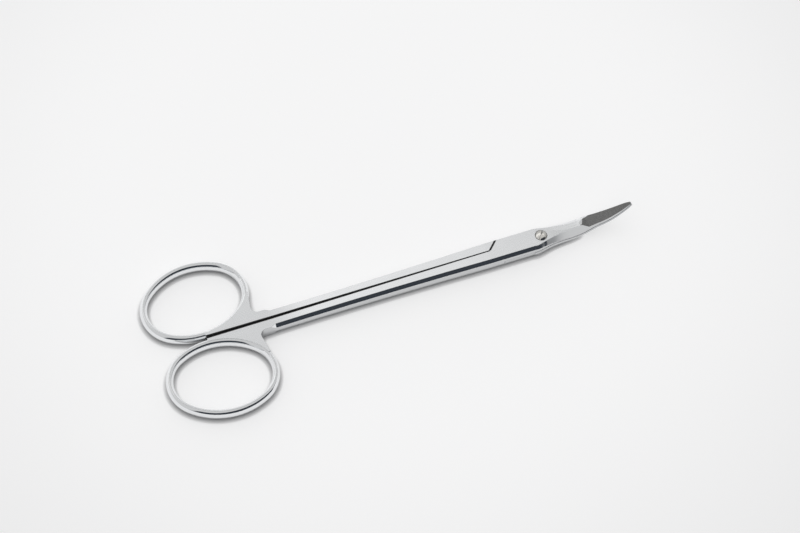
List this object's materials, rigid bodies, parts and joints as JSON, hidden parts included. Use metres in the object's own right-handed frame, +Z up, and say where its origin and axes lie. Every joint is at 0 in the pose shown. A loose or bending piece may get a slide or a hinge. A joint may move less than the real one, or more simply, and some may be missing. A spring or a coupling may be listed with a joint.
{
  "type": "dissecting scissors",
  "caption": "Slender stainless dissecting scissors with oval finger rings, a slotted joint screw and short blades curved on the flat.",
  "frame": {"origin": "on the joint screw's axis, in the plane of the flat undersides that the closed scissors rest on", "axes": "+X from the screw to the blade tips, +Y to the lower half's finger ring, +Z up along the screw"},
  "size_m": [0.12, 0.0422, 0.0065],
  "materials": {
    "satin_steel": "fine satin, brighter on bevels and rings, darker on the blades' ground flats",
    "turned_steel": "polished, turned"
  },
  "bodies": {
    "lower": {"lower_half": "satin_steel", "joint_screw": "turned_steel"},
    "upper": {"upper_half": "satin_steel"}
  },
  "joints": [
    {"name": "scissor_joint", "type": "hinge", "parent": "lower", "child": "upper", "pos_m": [0, 0, 0], "axis": [0, 0, 1], "range_deg": [0, 146]}
  ]
}
